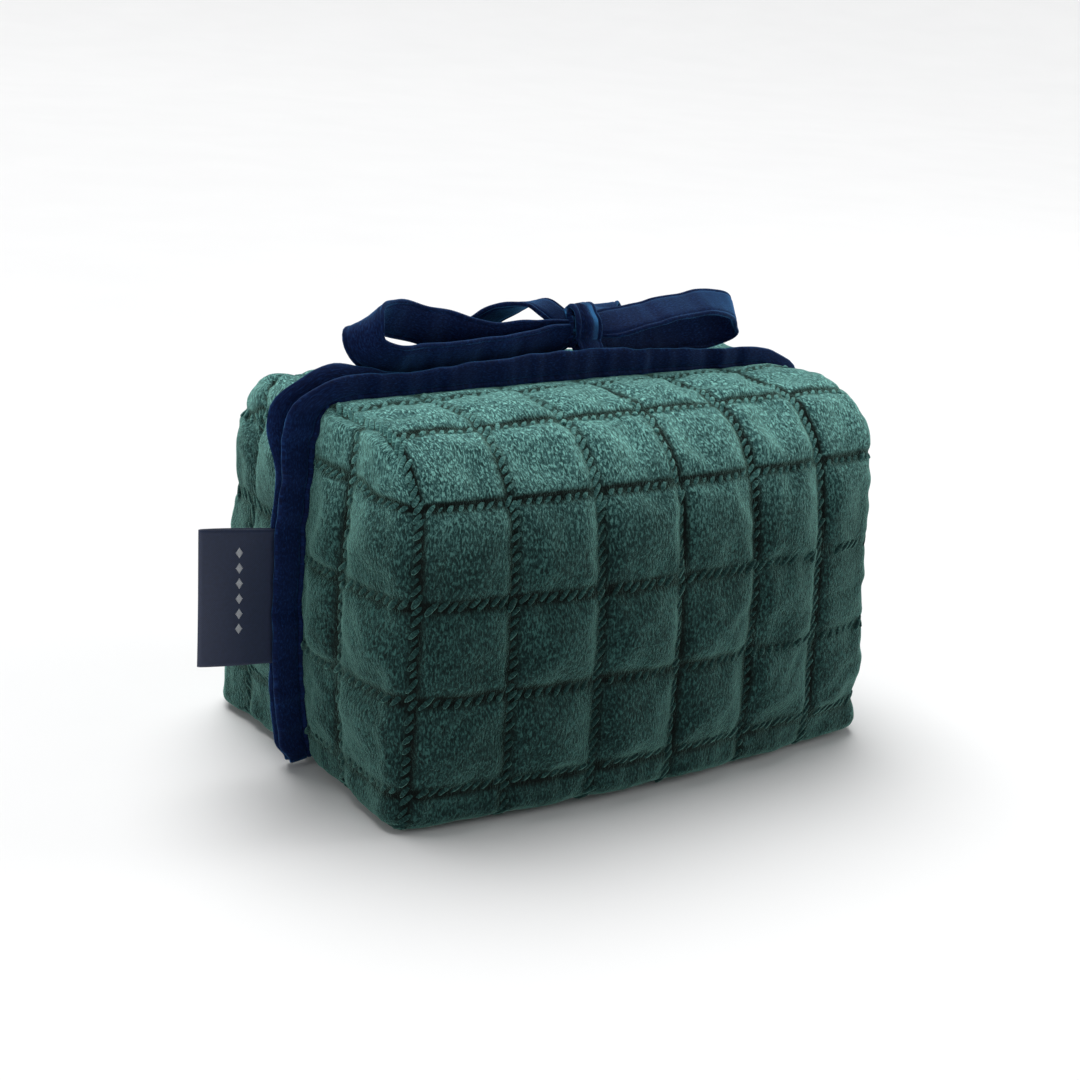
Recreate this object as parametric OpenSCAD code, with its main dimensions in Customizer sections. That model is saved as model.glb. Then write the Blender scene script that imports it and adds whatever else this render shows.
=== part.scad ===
// Soft boxy pouch in two tray-shaped halves, joined along the bottom and tied shut with a ribbon bow.
// X runs along the mouth, +Y goes from the front half to the back half, and +Z is up.
// The origin is on the floor, at the middle of the seam where the two halves meet.

/* [Body] */
// Width across the corners, without the bulge of the sides
body_w = 180; // [160:1:200]
// Height at the corners, without the crown of the top
body_h = 117; // [105:1:130]
// Depth of one half, from the mouth to its outer corners
half_d = 54; // [46:1:60]
// How far the middle of a side stands out past its corners
side_bulge = 5; // [2:0.5:7]
// How far the middle of the front or back stands out past its corners
face_bulge = 9; // [4:0.5:12]
// How far the foot of the front or back stands out past its top corners
foot_flare = 5; // [0:0.5:7]
// How far the middle of the top stands above its corners
top_crown = 1.5; // [0.5:0.5:3]
// Gap between the rims of the two halves
rim_gap = 0.3; // [0.2:0.1:0.6]

/* [Edges] */
// Radius of the long top edge at the front and back
top_edge_r = 24; // [18:1:28]
// Radius of the bottom edges
bottom_edge_r = 8; // [7:0.5:12]
// Radius of the four upright edges
upright_edge_r = 9; // [7:0.5:14]
// Radius of the darted edge between the top and a side
dart_edge_r = 5; // [3:0.5:8]

/* [Layers] */
// Thickness of the velvet outside
shell_t = 1.6; // [1:0.1:2]
// Thickness of the wadding behind it
wadding_t = 3; // [2:0.1:4]
// Thickness of the lining
lining_t = 0.8; // [0.5:0.1:1.2]

/* [Binding] */
// How far the binding stands out from the sides
binding_side_w = 10.5; // [8:0.5:13]
// How far the front binding stands up from the top
front_binding_h = 8; // [7.5:0.5:9]
// How far the back binding stands up from the top
back_binding_h = 6.5; // [6:0.5:7]
// Extra height of the front binding at its middle, where the tie pulls it up
binding_crest = 1.5; // [0:0.5:2]
// Thickness of one folded binding
binding_t = 2.4; // [2.1:0.1:3]
// Radius of the top corners of the binding
binding_corner_r = 14; // [10:1:18]
// Height of the lower ends of the binding above the floor
binding_end_z = 3; // [1:0.5:8]
// Width of the seam allowance inside the binding
allowance_w = 5; // [4:0.5:6]
// Thickness of the seam allowance
allowance_t = 0.8; // [0.5:0.1:1]

/* [Label] */
// Width of the folded label that shows past the binding
label_w = 22; // [15:1:28]
// Height of the label
label_h = 43; // [30:1:50]
// Thickness of the folded label
label_t = 1; // [0.6:0.1:1.4]
// Height of the lower edge of the label above the floor
label_z = 37; // [25:1:50]

/* [Bow] */
// Width of the ribbon
ribbon_w = 12; // [9:0.5:13]
// Thickness of the flat tube that the ribbon is
ribbon_t = 1.8; // [1.2:0.1:2.2]
// Radius of the knot
knot_r = 6.3; // [5:0.1:7]
// Place of the knot along the mouth
knot_x = 9.5; // [-4:0.5:12]
// Place of the knot behind the mouth
knot_y = 6.8; // [6.8:0.1:9]
// Length of the left loop
left_loop_l = 80; // [50:1:84]
// Half the height of the left loop
left_loop_h = 12; // [10:0.5:12]
// Length of the right loop
right_loop_l = 60; // [50:1:72]
// Half the height of the right loop
right_loop_h = 9.5; // [8:0.5:12]
// Rise of each loop from the knot to its far end
loop_rise = 4; // [3:0.5:8]
// Angle between each tail and the straight way back from the knot
tail_turn = 50; // [45:1:55]
// Height of the ends of the two tails above the floor
tail_end_z = 96; // [70:1:105]

/* [Hidden] */

half_w = body_w / 2;
arc_steps = 5;
side_steps = 6;
spare = 1;
big = 400;
velvet = "darkslategray";
navy = "midnightblue";
front_rim = rim_gap;
back_rim = 0;
wadding_inset = shell_t;
lining_inset = shell_t + wadding_t;
cavity_inset = lining_inset + lining_t;
rim_fold = 1;
least_r = 1.5;
allowance_back = 0.8;
tape_h = 8;
tape_t = 1.6;
tape_y = 0.3;
tape_l = body_w - 24;
stitch_l = 3;
stitch_pitch = 5;
stitch_t = 0.5;
knot_z = body_h + top_crown + front_binding_h + binding_crest + knot_r - 0.9;
loop_clear = 0.4;
strand_gap = 1.5;
tie_w = 11;
tie_t = 1;
tie_lean = 1;
front_tie_z = body_h + top_crown + front_binding_h + binding_crest + 1;
label_gap = 0.6;
tail_clear = 0.5;
tail_start = 8.2;
tail_out_h = 5.2;
tail_arch_h = 9.6;
tail_arch_l = 24;
tail_land = 40;
arch_steps = 8;

// Points on an arc about (cx, cy), from angle a0 to angle a1
function arc(cx, cy, r, a0, a1) =
    [for (k = [0:arc_steps]) let (a = a0 + (a1 - a0) * k / arc_steps) [cx + r * cos(a), cy + r * sin(a)]];

// Points between p and q, without p and q themselves
function between(p, q) = [for (k = [1:side_steps - 1]) p + (q - p) * k / side_steps];

// 1 at the middle of the height and 0 at the floor and at the top
function belly(z) = max(0, 1 - pow(2 * z / body_h - 1, 2));

// Share of its bulge that the front or back has at a height: most of it is kept down to the floor
function paunch(z) = z > body_h / 2 ? belly(z) : 1 - 0.4 * pow(1 - 2 * z / body_h, 2);

// How far the front or back stands out at a height, at the middle of the width
function stand_out(z) = face_bulge * paunch(z) + foot_flare * max(0, 1 - z / body_h);

// 1 at the middle of the width and 0 at the corners
function across(x) = max(0, 1 - pow(x / half_w, 2));

// Outline of the mouth in X and Z, with its sides out by side, its top up by up and its floor at low
function right_of_mouth(side, up, low, corner_r, floor_r) =
    let (w = half_w + side, h = body_h + up)
    concat(
        arc(w - floor_r, low + floor_r, floor_r, -90, 0),
        between([w, low + floor_r], [w, h - corner_r]),
        arc(w - corner_r, h - corner_r, corner_r, 0, 90)
    );
function swell(p, crest) = [
    p.x + sign(p.x) * side_bulge * belly(p.y),
    p.y + (p.y > body_h / 2 ? top_crown * across(p.x) + crest * pow(across(p.x), 3) : 0)
];
function mouth_outline(side, up, low, corner_r, floor_r, crest = 0) =
    let (
        right = right_of_mouth(side, up, low, corner_r, floor_r),
        n = len(right),
        left = [for (k = [n - 1:-1:0]) [-right[k].x, right[k].y]],
        top = between(right[n - 1], left[0])
    )
    [for (p = concat(right, top, left)) swell(p, crest)];

// Outline of one half seen from its side, in distance from the mouth and Z
function side_outline(inset, rim) =
    let (
        d = half_d - inset,
        low = max(bottom_edge_r - inset, least_r),
        high = top_edge_r - inset,
        face = concat(
            arc(d - low, inset + low, low, -90, 0),
            between([d, inset + low], [d, body_h - inset - high]),
            arc(d - high, body_h - inset - high, high, 0, 90)
        )
    )
    concat(
        [[rim, inset]],
        [for (p = face) [p.x + stand_out(p.y) * pow(p.x / half_d, 2), p.y]],
        [for (y = [half_d / 4, rim]) [y, body_h - inset + top_crown + spare]]
    );

// Outline of one half seen from above, in X and distance from the mouth
function plan_outline(inset, rim) =
    let (
        w = half_w - inset,
        d = half_d - inset,
        r = max(upright_edge_r - inset, least_r),
        corner = arc(w - r, d - r, r, 0, 90),
        far = len(corner) - 1,
        face = concat(
            corner,
            between(corner[far], [-corner[far].x, corner[far].y]),
            [for (k = [far:-1:0]) [-corner[k].x, corner[k].y]]
        ),
        flare = side_bulge + spare,
        out = face_bulge + spare
    )
    concat(
        [[w + flare, rim], [w + flare, half_d / 4], [w + flare / 2, half_d * 0.6]],
        [for (p = face) [p.x, p.y + foot_flare + out * across(p.x)]],
        [[-w - flare / 2, half_d * 0.6], [-w - flare, half_d / 4], [-w - flare, rim]]
    );

// A flat ribbon of thickness t along a path, as one outline
function along(path, k) = path[min(k + 1, len(path) - 1)] - path[max(k - 1, 0)];
function beside(path, k, gap) = let (d = along(path, k)) path[k] + gap * [-d.y, d.x] / norm(d);
function ribbon_outline(path, t) = concat(
    [for (k = [0:len(path) - 1]) beside(path, k, t / 2)],
    [for (k = [len(path) - 1:-1:0]) beside(path, k, -t / 2)]
);

// Path of a loop that leaves the knot above, turns at its far end and comes back below
function loop_path(length, height) = [
    for (k = [0:32])
        let (turn = 360 * k / 32, reach = (1 - cos(turn)) / 2)
        [reach * length, loop_rise * reach + strand_gap * cos(turn / 2) + height * sin(turn) * sqrt(reach)]
];

// Profile of a tail where it lies on the top and falls over the far edge, in distance from the mouth and Z
function tail_fall() =
    let (
        near = knot_y + tail_land * cos(tail_turn),
        edge = side_outline(-ribbon_t / 2 - tail_clear - top_crown, 0),
        last = len(edge) - 1
    )
    concat(
        [[near, body_h + top_crown + ribbon_t + tail_clear]],
        [for (k = [last:-1:0]) if (edge[k].x > near + ribbon_t && edge[k].y > tail_end_z) edge[k]]
    );
function run_to(path, k) = k == 0 ? 0 : run_to(path, k - 1) + norm(path[k] - path[k - 1]);

// Places of a tail that arches out of the knot and then falls; side is -1 for the left one, 1 for the right
function tail_arch(side) = [
    for (k = [0:arch_steps])
        let (t = k / arch_steps, reach = tail_start + t * tail_arch_l)
        [
            knot_x + side * reach * sin(tail_turn),
            knot_y + reach * cos(tail_turn),
            knot_z + tail_arch_h * cos(90 * t * t) - (tail_arch_h - tail_out_h) * pow(1 - t, 3)
        ]
];
function tail_places(side) =
    let (fall = tail_fall(), near = knot_x + side * tail_land * sin(tail_turn))
    concat(
        tail_arch(side),
        [for (k = [0:len(fall) - 1]) [near + side * tan(tail_turn) * run_to(fall, k), fall[k].x, fall[k].y]]
    );

// Directions across a tail: level on the arch, and flat against the half where the tail falls
function tail_widths(side) =
    let (fall = tail_fall())
    concat(
        [for (k = [0:arch_steps]) across_tail(side, [1, 0])],
        [for (k = [0:len(fall) - 1]) across_tail(side, k == 0 ? [1, 0] : unit(along(fall, k)))]
    );
function across_tail(side, way) =
    let (lean = -side * sin(tail_turn))
    [cos(tail_turn), lean * way.x, lean * way.y];
function unit(v) = v / norm(v);

// A solid whose outline is given in X and Z, from distance near to distance far behind the mouth
module slab(outline, near, far) {
    translate([0, far, 0])
        rotate([90, 0, 0])
            linear_extrude(height = far - near)
                polygon(outline);
}

// A whole tray without its hollow, with its mouth at y = rim and its far side towards +Y
module tray(inset, rim) {
    corner_r = max(dart_edge_r - inset, least_r);
    floor_r = max(bottom_edge_r - inset, least_r);
    furthest = half_d + face_bulge + foot_flare + spare;
    intersection() {
        slab(mouth_outline(-inset, -inset, inset, corner_r, floor_r), rim, furthest);
        translate([-big / 2, 0, 0])
            rotate([90, 0, 90])
                linear_extrude(height = big)
                    polygon(side_outline(inset, rim));
        linear_extrude(height = big)
            polygon(plan_outline(inset, rim));
    }
}

// Everything above a height
module above(z) {
    translate([-big / 2, -big / 2, z])
        cube([big, big, big]);
}

// Seam allowance that stands out round the mouth inside the binding
module allowance(rim) {
    near = rim + allowance_back;
    corner_r = dart_edge_r + allowance_w;
    intersection() {
        difference() {
            slab(
                mouth_outline(allowance_w, allowance_w, -allowance_w, corner_r, bottom_edge_r),
                near,
                near + allowance_t
            );
            slab(
                mouth_outline(-shell_t / 2, -shell_t / 2, 0, dart_edge_r, bottom_edge_r),
                near - spare,
                near + spare + allowance_t
            );
        }
        above(binding_end_z + allowance_back);
    }
}

module shell(rim) {
    union() {
        difference() {
            tray(0, rim);
            tray(wadding_inset, -spare);
        }
        allowance(rim);
    }
}

module wadding(rim) {
    difference() {
        tray(wadding_inset, rim + rim_fold);
        tray(lining_inset, -spare);
    }
}

module lining(rim) {
    difference() {
        union() {
            tray(lining_inset, rim);
            intersection() {
                tray(wadding_inset, rim);
                translate([-big / 2, rim, 0])
                    cube([big, rim_fold, big]);
            }
        }
        tray(cavity_inset, -spare);
    }
}

// Binding folded over the seam allowance, with a slot open at its top for the root of the tie
module binding(rim, height, crest) {
    side_w = binding_side_w;
    difference() {
        intersection() {
            difference() {
                slab(
                    mouth_outline(side_w, height, -side_w, binding_corner_r, bottom_edge_r, crest),
                    rim,
                    rim + binding_t
                );
                slab(
                    mouth_outline(0, 0, 0, dart_edge_r, bottom_edge_r),
                    rim - spare,
                    rim + binding_t + spare
                );
            }
            above(binding_end_z);
        }
        allowance(rim);
        translate([knot_x - tie_w / 2, rim + binding_t / 2 - tie_t / 2, body_h])
            cube([tie_w, tie_t, height * 3]);
    }
}

// Root of a tie: a flat tab sewn into the top of the binding, which leans back to the knot from height bend
module tie(rim, bend, end_y, end_z) {
    low = body_h + top_crown + allowance_w + 0.2;
    near = rim + binding_t / 2 - tie_t / 2;
    far = near + tie_t;
    inner = end_y > near ? far : near;
    outer = end_y > near ? near : far;
    rise = tie_t * 0.8;
    translate([knot_x - tie_w / 2, 0, 0])
        rotate([90, 0, 90])
            linear_extrude(height = tie_w)
                polygon([
                    [outer, low], [inner, low], [inner, bend],
                    [end_y, end_z], [end_y, end_z + rise], [outer, bend + rise]
                ]);
}

module knot_solid() {
    translate([knot_x, knot_y, knot_z])
        sphere(r = knot_r, $fn = 48);
}

module loop_solid(length, height) {
    rotate([90, 0, 0])
        linear_extrude(height = ribbon_w, center = true)
            polygon(ribbon_outline(loop_path(length, height), ribbon_t));
}

// A flat ribbon whose middle line and whose directions across it are given in space
module swept_ribbon(places, widths) {
    last = len(places) - 1;
    corners = [
        for (k = [0:last])
            let (
                w = widths[k] * ribbon_w / 2,
                up = unit(cross(widths[k], along(places, k))) * ribbon_t / 2
            )
            each [places[k] + w + up, places[k] - w + up, places[k] - w - up, places[k] + w - up]
    ];
    sides = [
        for (k = [0:last - 1])
            for (c = [0:3])
                let (a = 4 * k + c, b = 4 * k + (c + 1) % 4)
                each [[a, b, b + 4], [a, b + 4, a + 4]]
    ];
    near_end = [[2, 1, 0], [3, 2, 0]];
    far_end = [for (f = [[0, 1, 2], [0, 2, 3]]) [for (c = f) 4 * last + c]];
    polyhedron(points = corners, faces = concat(sides, near_end, far_end), convexity = 4);
}

module back_shell() {
    color(velvet) shell(back_rim);
}

module back_wadding() {
    color("whitesmoke") wadding(back_rim);
}

module back_lining() {
    color(navy) lining(back_rim);
}

module back_binding() {
    color(navy) binding(back_rim, back_binding_h, 0);
}

module base_seam_tape() {
    color(navy)
        translate([-tape_l / 2, tape_y, cavity_inset])
            cube([tape_l, tape_t, tape_h]);
}

module base_seam_stitches() {
    count = floor((tape_l - stitch_pitch) / stitch_pitch / 2);
    color("midnightblue")
        for (k = [-count:count])
            translate([k * stitch_pitch - stitch_l / 2, tape_y + tape_t, cavity_inset + tape_h * 0.7])
                cube([stitch_l, stitch_t, stitch_t]);
}

module back_tie() {
    color(navy)
        difference() {
            tie(back_rim, body_h + top_crown + back_binding_h, knot_y, knot_z - knot_r + 0.2);
            knot_solid();
        }
}

module bow_knot() {
    color(navy) knot_solid();
}

module left_tail() {
    color(navy) swept_ribbon(tail_places(-1), tail_widths(-1));
}

module right_tail() {
    color(navy) swept_ribbon(tail_places(1), tail_widths(1));
}

module front_shell() {
    color(velvet)
        mirror([0, 1, 0])
            shell(front_rim);
}

module front_wadding() {
    color("whitesmoke")
        mirror([0, 1, 0])
            wadding(front_rim);
}

module front_lining() {
    color(navy)
        mirror([0, 1, 0])
            lining(front_rim);
}

module front_binding() {
    color(navy)
        mirror([0, 1, 0])
            binding(front_rim, front_binding_h, binding_crest);
}

module front_tie() {
    color(navy)
        mirror([0, 1, 0])
            tie(front_rim, body_h + top_crown + front_binding_h + binding_crest, -tie_lean, front_tie_z);
}

module label() {
    edge = half_w + binding_side_w + side_bulge + label_gap;
    color("darkslateblue")
        translate([-edge - label_w, 0.2, label_z])
            cube([label_w, label_t, label_h]);
}

module left_loop() {
    color(navy)
        translate([knot_x - knot_r - loop_clear, knot_y, knot_z])
            mirror([1, 0, 0])
                loop_solid(left_loop_l, left_loop_h);
}

module right_loop() {
    color(navy)
        translate([knot_x + knot_r + loop_clear, knot_y, knot_z])
            loop_solid(right_loop_l, right_loop_h);
}

back_shell();
back_wadding();
back_lining();
back_binding();
base_seam_tape();
base_seam_stitches();
back_tie();
bow_knot();
left_tail();
right_tail();
front_shell();
front_wadding();
front_lining();
front_binding();
front_tie();
label();
left_loop();
right_loop();
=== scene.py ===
import math

import bpy
import numpy as np
from mathutils import Matrix, Vector
from mathutils.bvhtree import BVHTree


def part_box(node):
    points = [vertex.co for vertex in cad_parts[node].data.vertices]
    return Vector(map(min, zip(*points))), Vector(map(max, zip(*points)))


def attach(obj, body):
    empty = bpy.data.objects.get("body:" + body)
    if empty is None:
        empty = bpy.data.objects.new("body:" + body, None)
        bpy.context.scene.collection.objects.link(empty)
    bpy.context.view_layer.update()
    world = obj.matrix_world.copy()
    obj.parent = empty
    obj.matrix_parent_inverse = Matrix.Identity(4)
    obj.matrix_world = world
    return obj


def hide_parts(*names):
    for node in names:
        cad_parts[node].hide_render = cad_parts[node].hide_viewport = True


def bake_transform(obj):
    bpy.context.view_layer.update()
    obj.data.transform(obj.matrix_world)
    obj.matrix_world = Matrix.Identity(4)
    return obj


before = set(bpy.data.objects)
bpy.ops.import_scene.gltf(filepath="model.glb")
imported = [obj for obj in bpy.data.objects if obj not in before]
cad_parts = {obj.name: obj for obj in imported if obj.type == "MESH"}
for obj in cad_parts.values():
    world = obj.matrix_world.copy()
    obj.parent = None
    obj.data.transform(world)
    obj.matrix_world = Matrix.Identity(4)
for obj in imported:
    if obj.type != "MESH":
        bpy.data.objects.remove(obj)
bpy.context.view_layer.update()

MM = 0.001

# ------------------------ dimensions, in millimetres, as in the CAD model
BODY_W = 180.0
BODY_H = 117.0
HALF_D = 54.0
HALF_W = BODY_W / 2
SIDE_BULGE = 5.0
FACE_BULGE = 9.5
FOOT_FLARE = 5.5
FOOT_SIDE_FLARE = 4.0
TOP_CROWN = 0.6
FRONT_RIM = 0.3
BOTTOM_R = 5.5
TOP_R = 24.0
UPRIGHT_R = 7.5
DART_R = 5.0
SHELL_T = 1.3
PADDING_IN = 2.7
LINING_IN = 4.5
LINING_T = 0.8
STRIP_L = BODY_H + 2 * HALF_D
BINDING_SIDE_W = 10.5
BINDING_T = 2.4
BINDING_END_Z = 3.0
RIBBON_W = 12.4
RIBBON_T = 2.0
LOOP_W = 13.4

# Sewn lines of the check: places along the cloth's width, and along its length from the
# bottom rim round to the top rim
CHECK_U = np.array([-120.4, -88.0, -58.0, -28.0, 2.0, 32.0, 62.0, 92.3, 123.9])
CHECK_V = np.array([6.6, 36.6, 66.6, 95.0, 123.4, 153.8, 183.8, 214.0])
BACK_SHIFT_U = 11.0
BACK_SHIFT_V = 7.0
CHECK_PITCH = 30.0
BAND_W = 4.4
BAR_PITCH = 3.2
GROOVE_W = 1.7
GROOVE_DEPTH = 1.5
PILLOW_RISE = 2.0
DART_DEPTH = 2.2

# The cloth simulation: its steps, and how far it may move a place
SIM_STEPS = 20
SIM_CAP = 3.5

# The way along the half's strip over which a painted highlight makes the velvet paler towards the top,
# standing for the light from above
PAINTED_HIGHLIGHT_FROM = HALF_D + BODY_H - 44
PAINTED_HIGHLIGHT_TO = HALF_D + BODY_H + 18

# Sides of a stitch, and the strip that joins the halves: in from the body's sides, and out each way
STITCH_SIDES = 6
WEB_IN = 12.0
WEB_REACH = 5.0



# ------------------------ small helpers
def box_of(node):
    """The low and high corners of a CAD node, in millimetres."""
    return [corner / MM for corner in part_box(node)]


knot_low, knot_high = box_of("bow_knot")
KNOT = np.array((knot_low + knot_high) / 2)


def unit(vectors):
    """Each row of vectors, made one long."""
    return vectors / np.maximum(np.linalg.norm(vectors, axis=-1, keepdims=True), 1e-9)


def ramp(values, low, high):
    """0 below low, 1 above high, and smooth between them."""
    t = np.clip((np.asarray(values, float) - low) / (high - low), 0, 1)
    return t * t * (3 - 2 * t)


def bell(values, width):
    """1 at 0, and falling off smoothly over about width."""
    return np.exp(-((values / width) ** 2))


def hump(values):
    """1 at 0, and 0 from 1 on either way."""
    return np.clip(1 - values**2, 0, None)


def waves(points, size, seed, count=14):
    """Smooth noise of about -1 to 1 at points, with bumps about size apart."""
    rng = np.random.default_rng(seed)
    points = np.asarray(points, float)
    ways = unit(rng.normal(size=(count, points.shape[1])))
    ways *= rng.uniform(0.6, 1.5, (count, 1)) * 2 * math.pi / size
    phases = rng.uniform(0, 2 * math.pi, count)
    return np.sin(points @ ways.T + phases).sum(axis=1) * math.sqrt(2 / count) * 0.5


def steps_of(path):
    return np.linalg.norm(np.diff(path, axis=0), axis=1)


def run_along(path):
    """How far along a path each of its places is."""
    return np.concatenate([[0], np.cumsum(steps_of(path))])


def length_of(path):
    return float(steps_of(path).sum())


def smooth_path(points, steps):
    """A smooth curve through points (any number of columns), in evenly spaced steps."""
    p = np.asarray(points, float)
    p = np.vstack([2 * p[0] - p[1], p, 2 * p[-1] - p[-2]])
    dense = []
    for k in range(1, len(p) - 2):
        t = np.linspace(0, 1, 24, endpoint=False)[:, None]
        a, b, c, d = p[k - 1 : k + 3]
        square = 2 * a - 5 * b + 4 * c - d
        cube = 3 * b - a - 3 * c + d
        dense.append(0.5 * (2 * b + (c - a) * t + square * t**2 + cube * t**3))
    dense = np.vstack(dense + [p[-2:-1]])
    run = run_along(dense[:, :3])
    even = np.linspace(0, run[-1], steps + 1)
    return np.stack([np.interp(even, run, column) for column in dense.T], axis=1)


# ------------------------ meshes
def tube_faces(n, m, capped=True):
    """Faces of a tube of n rings with m places each."""
    faces = []
    for i in range(n - 1):
        for j in range(m):
            k = (j + 1) % m
            faces.append((i * m + j, i * m + k, (i + 1) * m + k, (i + 1) * m + j))
    if capped:
        faces.append(tuple(range(m))[::-1])
        faces.append(tuple((n - 1) * m + j for j in range(m)))
    return faces


def sheet_faces(n, m):
    """Faces of a sheet of n rows with m places each."""
    corners = [(i * m + j, (i + 1) * m + j) for i in range(n - 1) for j in range(m - 1)]
    return [(a, b, b + 1, a + 1) for a, b in corners]


def shifted(faces, start):
    """The faces of one copy of a shape, whose places begin at start."""
    return [tuple(start + k for k in face) for face in faces]


def turned(faces):
    """The faces, looking the other way."""
    return [face[::-1] for face in faces]


def add_object(name, data):
    made = bpy.data.objects.new(name, data)
    bpy.context.scene.collection.objects.link(made)
    return made


def mesh_piece(name, places, faces, material, cloth=None, corner_values=None):
    """A new mesh object from places in millimetres. cloth is an attribute of its places, and
    corner_values are attributes of its faces' corners, by name. Each has three numbers."""
    mesh = bpy.data.meshes.new(name)
    mesh.from_pydata((np.reshape(places, (-1, 3)) * MM).tolist(), [], [list(f) for f in faces])
    mesh.polygons.foreach_set("use_smooth", [True] * len(mesh.polygons))
    attributes = [(key, "CORNER", rows) for key, rows in (corner_values or {}).items()]
    if cloth is not None:
        attributes.append(("cloth", "POINT", cloth))
    for key, domain, rows in attributes:
        attribute = mesh.attributes.new(key, "FLOAT_VECTOR", domain)
        attribute.data.foreach_set("vector", np.asarray(rows, np.float32).ravel())
    mesh.validate()
    mesh.update()
    mesh.materials.append(material)
    return add_object(name, mesh)


def apply_modifiers(piece):
    """Turns what the piece's modifiers make into its own mesh."""
    bpy.context.view_layer.update()
    graph = bpy.context.evaluated_depsgraph_get()
    result = piece.evaluated_get(graph)
    made = bpy.data.meshes.new_from_object(result, preserve_all_data_layers=True, depsgraph=graph)
    piece.modifiers.clear()
    piece.data = made


def subdivide(piece):
    modifier = piece.modifiers.new("round", "SUBSURF")
    modifier.levels = 1
    modifier.render_levels = 1
    apply_modifiers(piece)


def thicken(piece, thickness):
    modifier = piece.modifiers.new("thick", "SOLIDIFY")
    modifier.thickness = thickness * MM
    modifier.offset = -1.0
    modifier.use_even_offset = False
    apply_modifiers(piece)


def belongs(piece, body, slot, *nodes):
    """The piece rides on a body and stands for CAD nodes, which it hides. slot is not used."""
    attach(piece, body)
    if nodes:
        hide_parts(*nodes)
    return piece


# ------------------------ materials
class Look:
    """A material, with the nodes that it is made of."""

    def __init__(self, name):
        self.material = bpy.data.materials.new(name)
        self.material.use_nodes = True
        self.tree = self.material.node_tree

    def feed(self, socket, value):
        """Gives a socket a number, a colour or what another node puts out."""
        if isinstance(value, (int, float)):
            socket.default_value = value
        elif isinstance(value, tuple):
            socket.default_value = (*value, 1)
        else:
            self.tree.links.new(value, socket)

    def surface(self, sockets):
        """Feeds the sockets of the surface, by name, and returns the finished material."""
        for key, value in sockets.items():
            self.feed(self.tree.nodes["Principled BSDF"].inputs[key], value)
        return self.material

    def node(self, kind, sockets):
        """A new node with its sockets fed, by name or number."""
        made = self.tree.nodes.new(kind)
        for key, value in sockets.items():
            self.feed(made.inputs[key], value)
        return made

    def math(self, operation, *values, clamp=False):
        node = self.node("ShaderNodeMath", dict(enumerate(values)))
        node.operation = operation
        node.use_clamp = clamp
        return node.outputs[0]

    def attribute(self, name):
        """A mesh attribute, whole and as its three numbers."""
        node = self.node("ShaderNodeAttribute", {})
        node.attribute_name = name
        whole = node.outputs["Vector"]
        return whole, self.node("ShaderNodeSeparateXYZ", {0: whole}).outputs

    def stretched(self, vector, scale):
        node = self.node("ShaderNodeMapping", {"Vector": vector})
        node.inputs["Scale"].default_value = scale
        return node.outputs["Vector"]

    def noise(self, vector, scale, detail=2.0, rough=0.5, distortion=0.0):
        sockets = {"Scale": scale, "Detail": detail, "Roughness": rough, "Distortion": distortion}
        return self.node("ShaderNodeTexNoise", {"Vector": vector, **sockets}).outputs[0]

    def colours(self, factor, stops):
        node = self.node("ShaderNodeValToRGB", {0: factor})
        band = node.color_ramp
        while len(band.elements) < len(stops):
            band.elements.new(0.5)
        for element, (place, colour) in zip(band.elements, stops):
            element.position = place
            element.color = (*colour, 1)
        return node.outputs[0]

    def mixed(self, factor, a, b, blend="MIX"):
        node = self.tree.nodes.new("ShaderNodeMix")
        node.data_type = "RGBA"
        node.blend_type = blend
        for key, value in ((0, factor), (6, a), (7, b)):
            self.feed(node.inputs[key], value)
        return node.outputs[2]

    def bumped(self, height, distance, strength=1.0):
        sockets = {"Distance": distance, "Strength": strength, "Height": height}
        return self.node("ShaderNodeBump", sockets).outputs["Normal"]


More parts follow.
